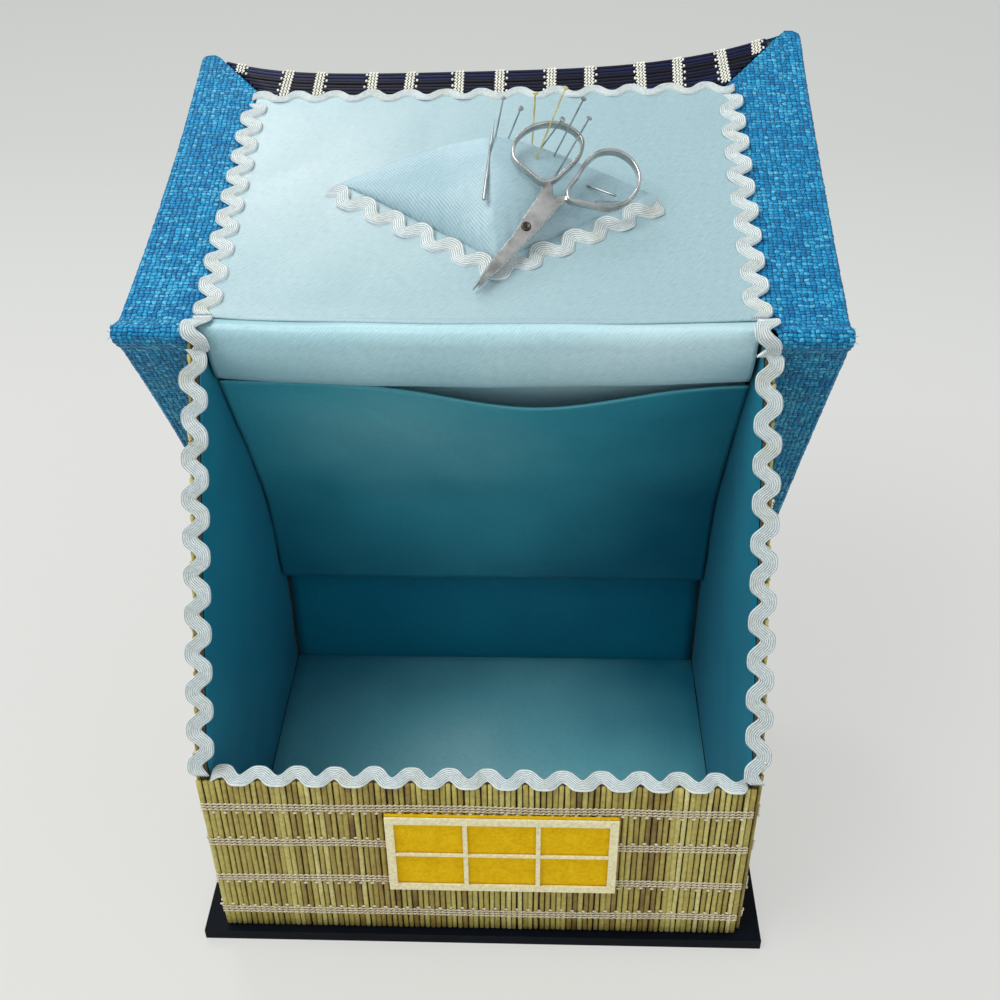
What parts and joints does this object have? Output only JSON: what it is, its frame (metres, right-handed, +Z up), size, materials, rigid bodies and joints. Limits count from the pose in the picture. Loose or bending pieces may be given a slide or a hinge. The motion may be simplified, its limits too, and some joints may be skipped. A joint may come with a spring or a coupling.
{
  "type": "sewing box",
  "caption": "House-shaped sewing box of card covered in woven rush, with a satin lining, a cloth-hinged roof lid, a pocket, a pincushion and small scissors",
  "frame": {"origin": "centre of the underside of the base board", "axes": "+Z up, -Y the front with the window, +X to the right seen from the front, ridge along X"},
  "size_m": [0.2394, 0.2286, 0.2706],
  "materials": {
    "navy_card": "painted card, dark navy, faintly scuffed",
    "grey_card": "bare grey-brown card board",
    "rush_mat": "natural rush stalks, straw to olive, with cream thread bands",
    "navy_rush": "dyed navy rush stalks with white thread bands",
    "blue_raffia": "bright blue plain-woven raffia",
    "satin": "pale blue satin, soft sheen, fine diagonal twill",
    "white_braid": "off-white rick-rack braid",
    "yellow_felt": "mustard yellow felt, fuzzy",
    "cream_paper": "cream card strips",
    "steel": "steel with a dark patina on the flats and bright edges",
    "brass": "yellow brass wire"
  },
  "bodies": {
    "box": {"base_board": "navy_card", "front_wall_board": "grey_card", "back_wall_board": "grey_card", "left_gable_board": "grey_card", "right_gable_board": "grey_card", "back_roof_board": "grey_card", "front_wall_mat": "rush_mat", "back_wall_mat": "rush_mat", "left_gable_mat": "rush_mat", "right_gable_mat": "rush_mat", "front_lining": "satin", "back_lining": "satin", "left_lining": "satin", "right_lining": "satin", "floor_lining": "satin", "pocket_panel": "satin", "hinge_lining": "satin", "back_roof_mat": "navy_rush", "ridge_hinge": "navy_rush", "left_back_verge": "blue_raffia", "right_back_verge": "blue_raffia", "left_verge_fold": "blue_raffia", "right_verge_fold": "blue_raffia", "left_rim_rickrack": "white_braid", "front_rim_rickrack": "white_braid", "right_rim_rickrack": "white_braid", "window_felt": "yellow_felt", "window_frame": "cream_paper"},
    "lid": {"lid_board": "grey_card", "lid_mat": "navy_rush", "left_lid_verge": "blue_raffia", "right_lid_verge": "blue_raffia", "lid_satin_panel": "satin", "lid_left_rickrack": "white_braid", "lid_eave_rickrack": "white_braid", "lid_right_rickrack": "white_braid", "pincushion": "satin", "pincushion_rickrack": "white_braid", "scissors_front_half": "steel", "scissors_rivet": "steel", "pin_1": "steel", "pin_2": "steel", "pin_3": "brass", "pin_4": "brass", "pin_5": "steel", "pin_6": "steel", "pin_7": "steel", "needle_1": "steel", "needle_2": "steel", "needle_3": "steel"},
    "scissors_half": {"scissors_rear_half": "steel"}
  },
  "joints": [
    {"name": "lid_hinge", "type": "hinge", "parent": "box", "child": "lid", "pos_m": [0, -0.0025, 0.2122], "axis": [1, 0, 0], "range_deg": [0, 222.85], "deforming": ["hinge_lining", "left_verge_fold", "right_verge_fold", "ridge_hinge"]},
    {"name": "scissors_pivot", "type": "hinge", "parent": "lid", "child": "scissors_half", "pos_m": [0.0142, 0.03699, 0.23262], "axis": [-0.1312, 0.5937, -0.7939], "range_deg": [0, 28]}
  ]
}
